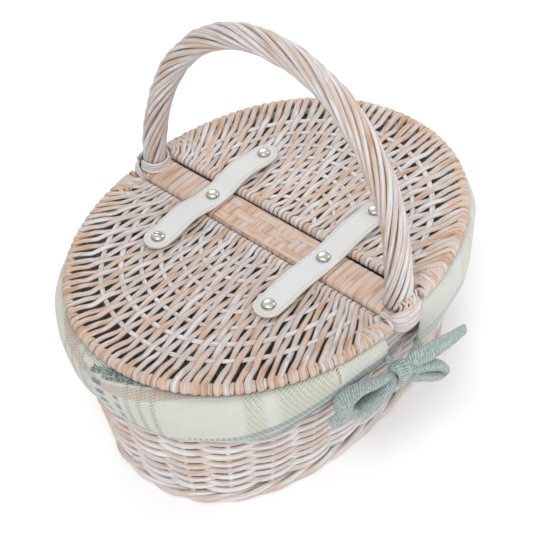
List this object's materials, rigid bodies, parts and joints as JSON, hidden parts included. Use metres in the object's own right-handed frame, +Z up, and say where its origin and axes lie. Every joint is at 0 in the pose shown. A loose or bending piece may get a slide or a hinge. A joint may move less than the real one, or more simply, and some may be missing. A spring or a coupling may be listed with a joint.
{
  "type": "picnic basket",
  "caption": "Small oval wicker picnic basket with hinged half lids on leather straps, a fixed twisted arch handle and a checked cloth lining tied with bows.",
  "frame": {"origin": "on the ground under the middle of the oval base", "axes": "+X along the basket from the front lid to the back lid, +Y across it from the near handle foot to the far one, +Z up"},
  "size_m": [0.3028, 0.2838, 0.2711],
  "materials": {
    "willow": "lime-washed willow rods, matt",
    "willow_core": "lime-washed willow, thicker rods and hidden core, matt",
    "lining_cloth": "cream woven tweed with a pale check",
    "tie_cloth": "duck-egg teal twill",
    "leather": "off-white smooth leather with stitched edges",
    "nickel": "polished nickel plate"
  },
  "bodies": {
    "basket": {"base_panel": "willow_core", "foot_border": "willow_core", "basket_wall": "willow", "rim_border": "willow", "lining_floor": "lining_cloth", "lining_side": "lining_cloth", "lining_skirt_front": "lining_cloth", "lining_skirt_back": "lining_cloth", "crossbar_core": "willow_core", "crossbar_wrap": "willow", "handle_core": "willow_core", "handle_rod_1": "willow", "handle_rod_2": "willow", "handle_rod_3": "willow", "handle_rod_4": "willow", "handle_rod_5": "willow", "handle_rod_6": "willow", "handle_binding_near": "willow", "handle_binding_far": "willow", "strap_near_middle": "leather", "strap_far_middle": "leather", "rivet_near_middle": "nickel", "rivet_far_middle": "nickel", "washer_near_middle": "nickel", "washer_far_middle": "nickel", "bow_near_knot": "tie_cloth", "bow_near_front_loop": "tie_cloth", "bow_near_back_loop": "tie_cloth", "bow_near_long_tail": "tie_cloth", "bow_near_short_tail": "tie_cloth", "bow_far_knot": "tie_cloth", "bow_far_front_loop": "tie_cloth", "bow_far_back_loop": "tie_cloth", "bow_far_long_tail": "tie_cloth", "bow_far_short_tail": "tie_cloth"},
    "front_lid": {"front_lid_hoop": "willow", "front_lid_hinge_rod": "willow", "front_lid_weave": "willow", "front_lid_rib_outer": "willow_core", "front_lid_rib_middle": "willow_core", "front_lid_rib_inner": "willow_core", "strap_near_front": "leather", "strap_far_front": "leather", "rivet_near_front": "nickel", "rivet_far_front": "nickel", "washer_near_front": "nickel", "washer_far_front": "nickel"},
    "back_lid": {"back_lid_hoop": "willow", "back_lid_hinge_rod": "willow", "back_lid_weave": "willow", "back_lid_rib_outer": "willow_core", "back_lid_rib_middle": "willow_core", "back_lid_rib_inner": "willow_core", "strap_near_back": "leather", "strap_far_back": "leather", "rivet_near_back": "nickel", "rivet_far_back": "nickel", "washer_near_back": "nickel", "washer_far_back": "nickel"}
  },
  "joints": [
    {"name": "front_lid_hinge", "type": "hinge", "parent": "basket", "child": "front_lid", "pos_m": [-0.0135, 0, 0.1332], "axis": [0, 1, 0], "range_deg": [0, 98]},
    {"name": "back_lid_hinge", "type": "hinge", "parent": "basket", "child": "back_lid", "pos_m": [0.0135, 0, 0.1352], "axis": [0, -1, 0], "range_deg": [0, 80]}
  ]
}
